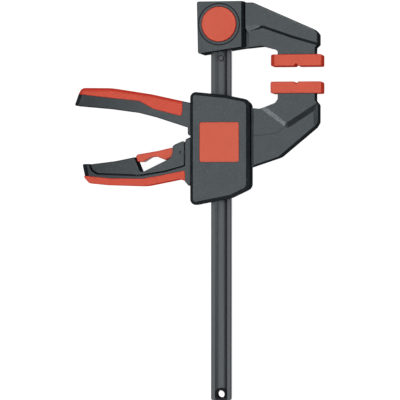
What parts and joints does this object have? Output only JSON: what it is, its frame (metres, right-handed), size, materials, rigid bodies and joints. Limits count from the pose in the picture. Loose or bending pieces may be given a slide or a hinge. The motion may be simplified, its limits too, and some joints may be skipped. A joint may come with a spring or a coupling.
{
  "type": "quick release bar clamp",
  "caption": "One-handed bar clamp: a grooved steel rail, a fixed jaw with a lock button, and a pump-action slider with soft pads, a pistol handle and a release trigger.",
  "frame": {"origin": "on the back face of the fixed jaw, where the lock button's axis meets it; that axis crosses the rail's own axis", "axes": "+X from the rail towards the jaws' tips, +Y along the rail towards the fixed jaw, +Z out of the front, with the clamp lying on its back"},
  "size_m": [0.2157, 0.3435, 0.033],
  "materials": {
    "body_plastic": "fine spark texture, dark grey",
    "pad": "soft satin, orange-red",
    "soft_grip": "soft satin, orange-red",
    "button_plastic": "smooth, orange-red",
    "badge": "smooth, orange-red, bare",
    "rail_steel": "black oxide, semi-gloss",
    "pin_steel": "black oxide steel",
    "screw_steel": "dark zinc",
    "spring_steel": "drawn spring wire",
    "plate_steel": "hardened plate",
    "guide_plastic": "natural, low friction",
    "sleeve": "black, satin"
  },
  "bodies": {
    "bar": {"rail": "rail_steel", "stop_pin": "pin_steel", "end_sleeve": "sleeve", "fixed_jaw_body": "body_plastic", "fixed_jaw_cover": "body_plastic", "fixed_jaw_screws": "screw_steel", "fixed_pad": "pad", "button_spring": "spring_steel"},
    "lock_button": {"lock_button": "button_plastic", "lock_pin": "pin_steel", "lock_pin_clip": "spring_steel"},
    "slider": {"slider_housing": "body_plastic", "slider_cover": "body_plastic", "cover_screws": "screw_steel", "badge_plate": "badge", "moving_pad": "pad", "handle_grip": "soft_grip", "upper_guide": "guide_plastic", "lower_guide": "guide_plastic", "lever_pivot_pin": "pin_steel", "brake_spring": "spring_steel", "drive_spring": "spring_steel"},
    "pump_lever": {"lever_shell": "body_plastic", "lever_insert": "body_plastic", "insert_pins": "pin_steel", "lever_grip": "soft_grip", "trigger_pin": "pin_steel", "trigger_spring": "spring_steel"},
    "release_trigger": {"release_trigger": "button_plastic"},
    "brake_plate": {"brake_plate": "plate_steel"},
    "drive_plates": {"drive_plate_upper": "plate_steel", "drive_plate_lower": "plate_steel"}
  },
  "joints": [
    {"name": "slider_slide", "type": "slide", "parent": "bar", "child": "slider", "axis": [0, 1, 0], "range_m": [-0.158, 0.013]},
    {"name": "pump_lever_squeeze", "type": "hinge", "parent": "slider", "child": "pump_lever", "pos_m": [-0.0175, -0.119, 0.016], "axis": [0, 0, -1], "range_deg": [0, 20], "stiffness_Nm_per_rad": 0.6, "springref_deg": -14.32},
    {"name": "release_trigger_pull", "type": "hinge", "parent": "pump_lever", "child": "release_trigger", "pos_m": [-0.0338, -0.1099, 0.016], "axis": [0, 0, -1], "range_deg": [0, 10], "stiffness_Nm_per_rad": 0.2, "springref_deg": -11.46},
    {"name": "lock_button_press", "type": "slide", "parent": "bar", "child": "lock_button", "axis": [0, 0, -1], "range_m": [0, 0.0032], "stiffness_N_per_m": 600, "springref_m": -0.002, "deforming": ["button_spring"]},
    {"name": "brake_plate_release", "type": "hinge", "parent": "slider", "child": "brake_plate", "pos_m": [0.017, -0.1055, 0.016], "axis": [0, 0, 1], "range_deg": [0, 4.6], "deforming": ["brake_spring"]},
    {"name": "drive_plates_slide", "type": "slide", "parent": "slider", "child": "drive_plates", "axis": [0, -1, 0], "range_m": [0, 0.00446], "deforming": ["drive_spring"]}
  ],
  "couplings": [
    {"joint": "brake_plate_release", "follows": "release_trigger_pull", "ratio": 0.46},
    {"joint": "drive_plates_slide", "follows": "pump_lever_squeeze", "m_per_rad": 0.0125}
  ]
}
